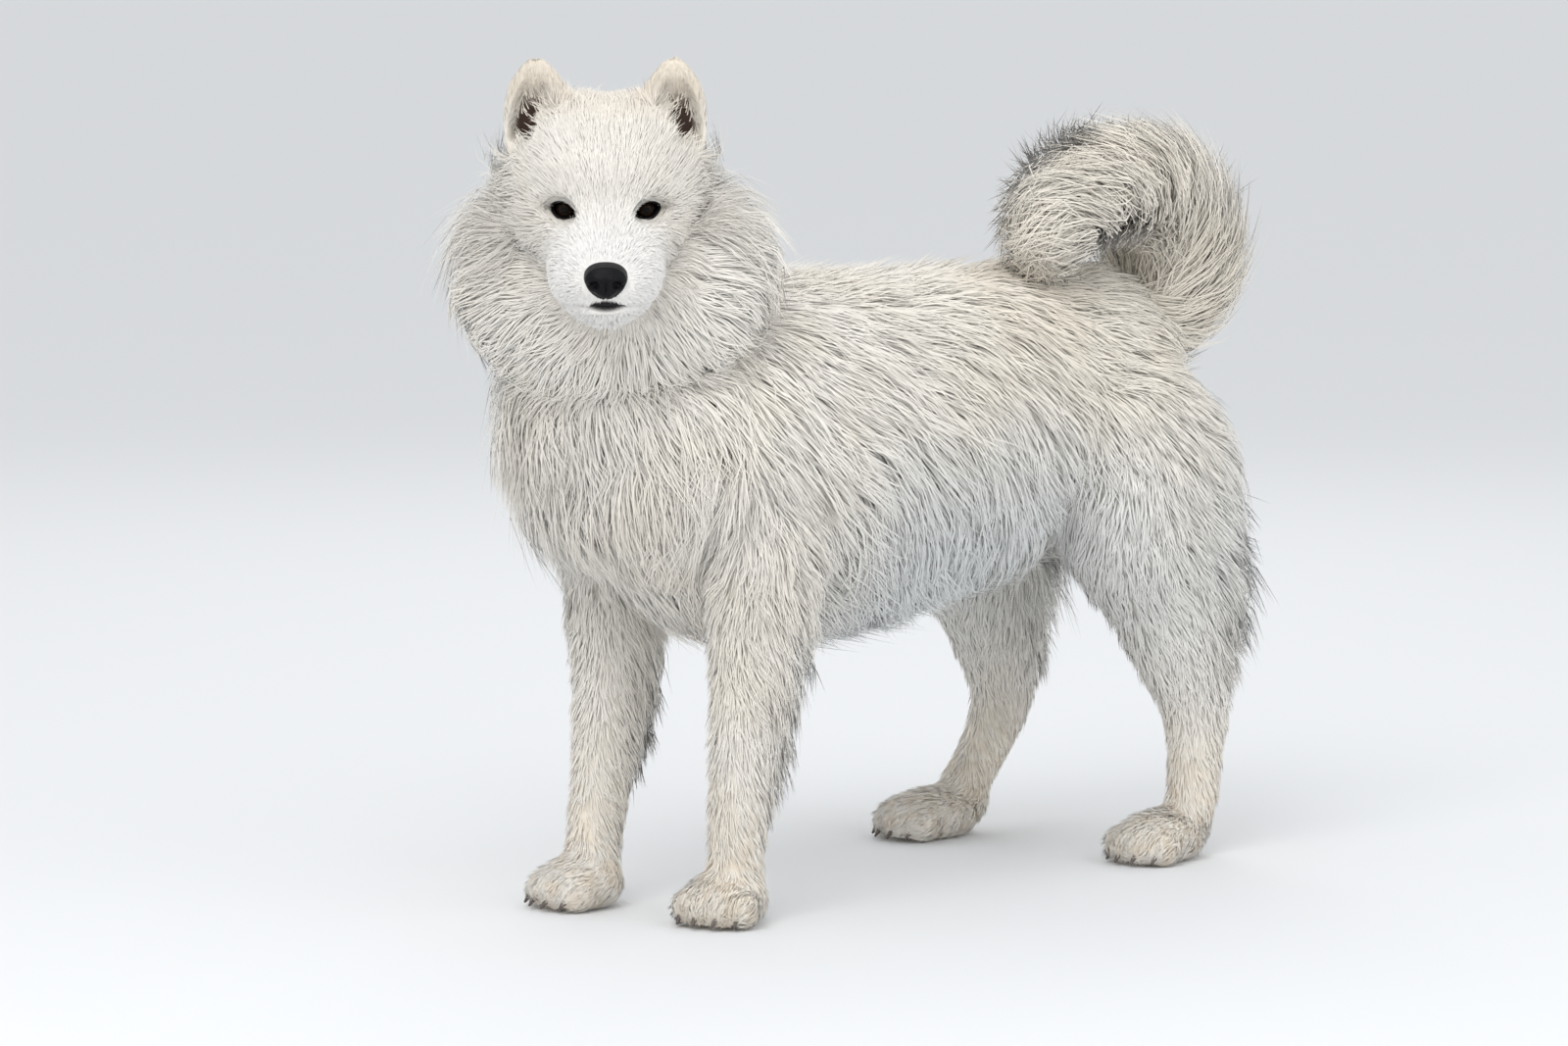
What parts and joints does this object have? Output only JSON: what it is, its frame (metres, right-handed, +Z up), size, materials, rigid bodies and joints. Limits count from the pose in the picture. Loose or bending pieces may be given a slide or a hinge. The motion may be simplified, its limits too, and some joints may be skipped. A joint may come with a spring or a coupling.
{
  "type": "samoyed",
  "caption": "Life-size still model of a white samoyed standing, head turned to its left, tail curled over the back, with a narrow leather collar in its ruff.",
  "frame": {"origin": "on the floor, below the middle of the model's bounding box", "axes": "+X to the dog's left, +Y from chest to rump, +Z up; the body faces -Y and the head is turned to the dog's left"},
  "size_m": [0.3536, 0.916, 0.769],
  "materials": {
    "coat": "white to cream fur",
    "nose_leather": "moist fine-grained black skin",
    "eye": "wet dark brown",
    "collar_leather": "satin dark leather",
    "claw": "satin dark horn",
    "lip_skin": "black skin"
  },
  "bodies": {
    "root": {"head": "coat", "lower_jaw": "coat", "nose": "nose_leather", "eye_left": "eye", "eye_right": "eye", "ear_left": "coat", "ear_right": "coat", "collar": "collar_leather", "ruff": "coat", "neck": "coat", "torso": "coat", "tail_base": "coat", "tail_plume": "coat", "leg_front_left": "coat", "leg_front_right": "coat", "leg_hind_left": "coat", "leg_hind_right": "coat", "paw_front_left": "coat", "paw_front_right": "coat", "paw_hind_left": "coat", "paw_hind_right": "coat"}
  },
  "joints": []
}
